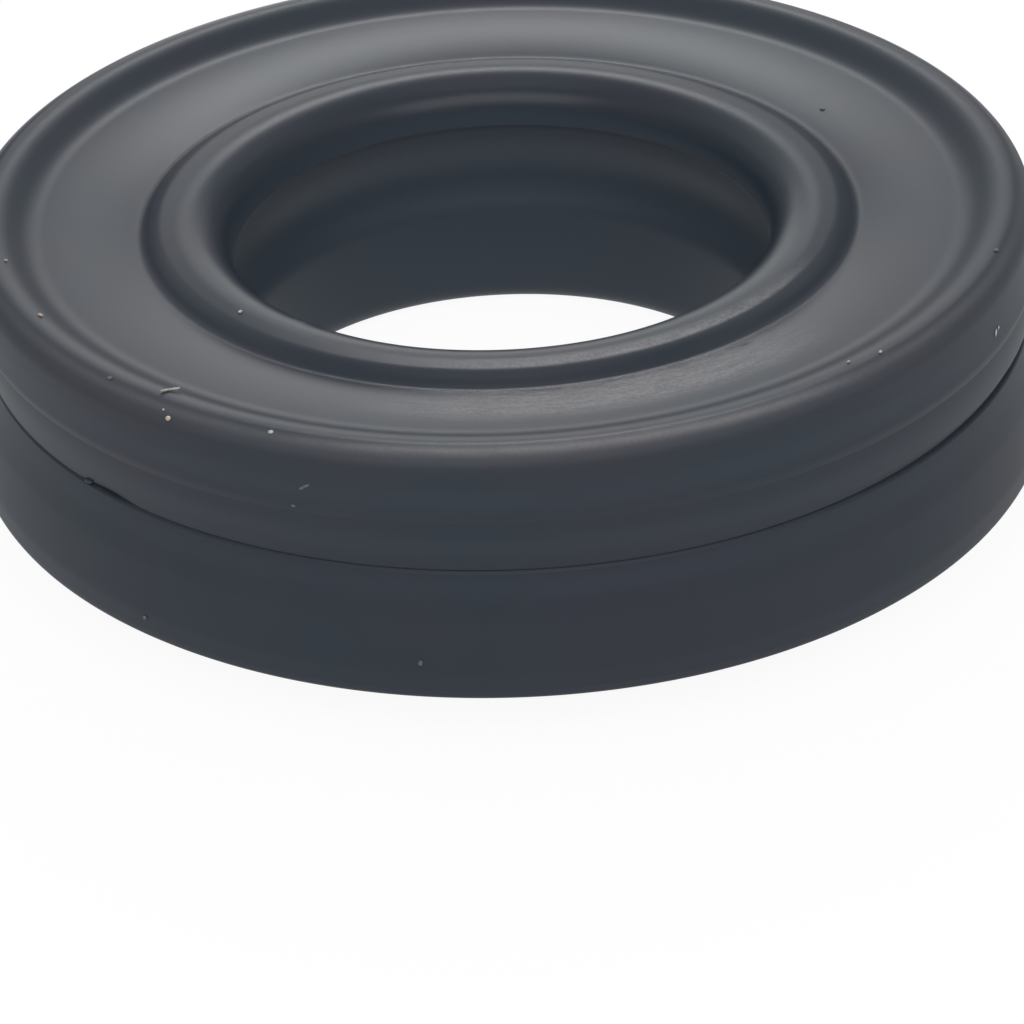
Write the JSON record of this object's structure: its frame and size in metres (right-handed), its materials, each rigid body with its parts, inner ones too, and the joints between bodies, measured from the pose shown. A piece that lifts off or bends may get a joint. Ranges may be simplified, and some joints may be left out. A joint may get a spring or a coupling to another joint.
{
  "type": "quad ring seal",
  "caption": "Moulded rubber seal ring whose squarish section has a sealing lobe at each corner and shallow valleys between them, for sealing a rod in its bore or a housing around it.",
  "frame": {"origin": "on the ring's axis, at the height of the flat foot on the lower inner lobe, which is the bottom centre of the bounding box", "axes": "+Z along the ring's axis, from the foot up to the crest of the upper outer lobe; X and Y are alike, because the ring is a body of revolution"},
  "size_m": [0.0212, 0.0212, 0.0057],
  "materials": {
    "rubber": "matt moulded rubber, dark slate grey, with dust and light scuffs"
  },
  "bodies": {
    "root": {"quad_ring": "rubber"}
  },
  "joints": []
}
